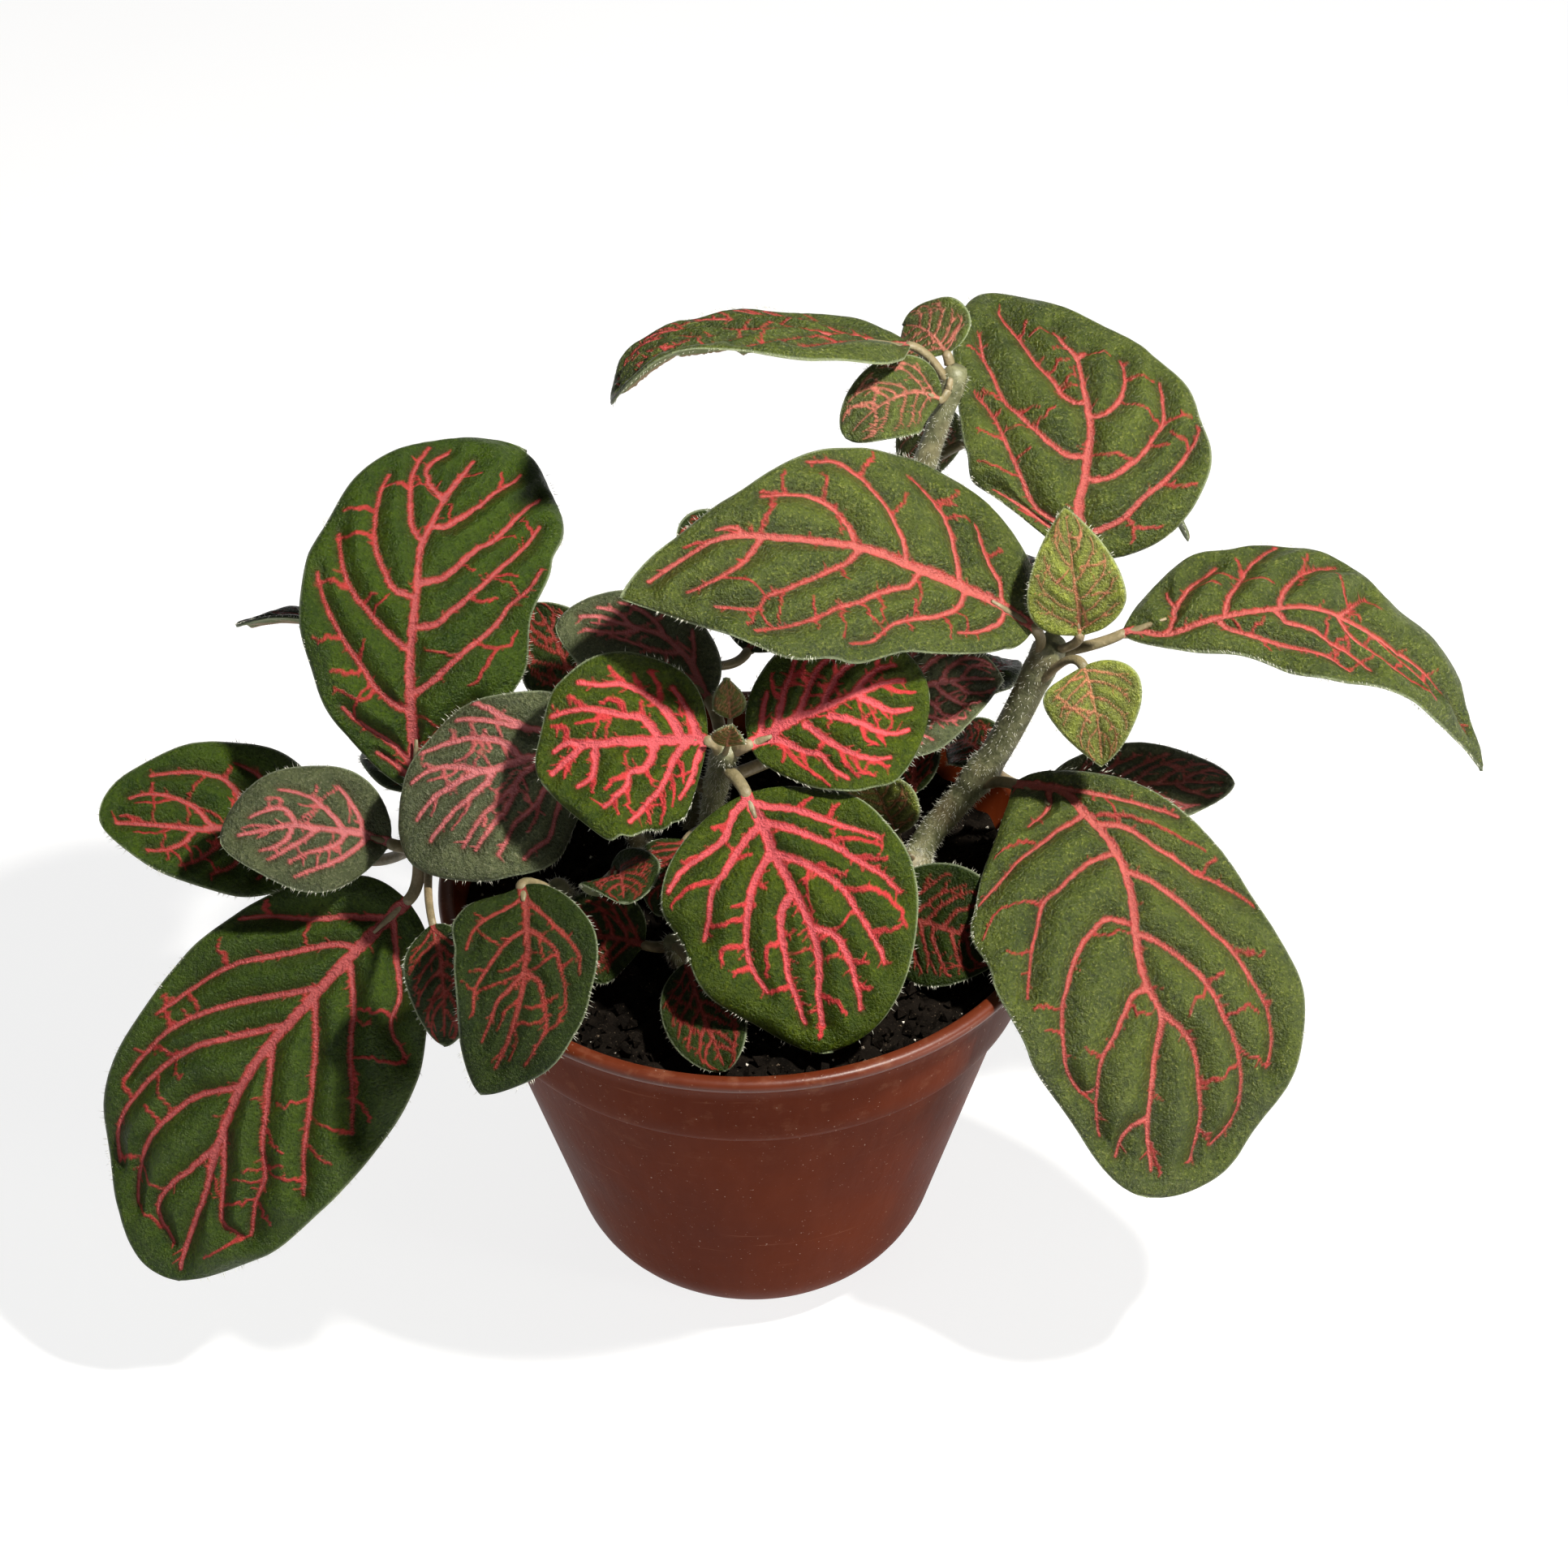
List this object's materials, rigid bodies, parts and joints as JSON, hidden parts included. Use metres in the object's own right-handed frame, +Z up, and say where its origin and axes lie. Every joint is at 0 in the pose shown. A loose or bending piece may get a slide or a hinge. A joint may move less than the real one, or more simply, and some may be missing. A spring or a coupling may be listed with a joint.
{
  "type": "potted nerve plant",
  "caption": "Red-veined nerve plant with oval netted leaves on hairy stems, standing in soil in a round tapered plastic nursery pot.",
  "frame": {"origin": "centre of the pot's flat underside", "axes": "+Z up; -Y towards the plant's front, so +X is to its right as seen from the front"},
  "size_m": [0.1877, 0.0966, 0.1386],
  "materials": {
    "pot": "terracotta-brown moulded plastic, satin, with faint scuffs and dust",
    "soil": "moist dark peat with pale specks; wood stands in for potting soil",
    "stem": "olive-brown, covered in short white hairs; paper stands in for plant tissue",
    "leaf": "dark green quilted blade with a coral-red vein net and a soft sheen; paper stands in for plant tissue"
  },
  "bodies": {
    "root": {"pot": "pot", "soil": "soil", "stem_right": "stem", "stem_back": "stem", "stem_rosette": "stem", "stem_left": "stem", "stem_rear": "stem", "stem_front_left": "stem", "stem_front": "stem", "leaf_left_upright": "leaf", "leaf_left_far": "leaf", "leaf_left_small": "leaf", "leaf_left_front": "leaf", "leaf_left_hidden": "leaf", "leaf_left_rear": "leaf", "leaf_left_back": "leaf", "leaf_inner_left": "leaf", "leaf_rosette_left": "leaf", "leaf_rosette_right": "leaf", "leaf_rosette_front": "leaf", "leaf_rosette_back": "leaf", "leaf_rosette_under_right": "leaf", "leaf_core_left": "leaf", "leaf_rosette_bud_near": "leaf", "leaf_rosette_bud_far": "leaf", "leaf_right_inward": "leaf", "leaf_right_upright": "leaf", "leaf_right_outward": "leaf", "leaf_right_bud_upper": "leaf", "leaf_right_bud_lower": "leaf", "leaf_right_low": "leaf", "leaf_right_low_rear": "leaf", "leaf_right_pale": "leaf", "leaf_core_right": "leaf", "leaf_core_young": "leaf", "leaf_core_dark": "leaf", "leaf_top_left": "leaf", "leaf_top_front": "leaf", "leaf_top_back": "leaf", "leaf_top_under": "leaf", "leaf_top_right": "leaf", "leaf_back_outward": "leaf", "leaf_back_low": "leaf", "leaf_rear_tip": "leaf", "leaf_rear_inner": "leaf", "leaf_rear_left": "leaf", "leaf_rear_right": "leaf", "leaf_rear_low": "leaf", "leaf_overhanging": "leaf", "leaf_core_far_left": "leaf", "leaf_soil_front": "leaf", "leaf_soil_left": "leaf"}
  },
  "joints": []
}
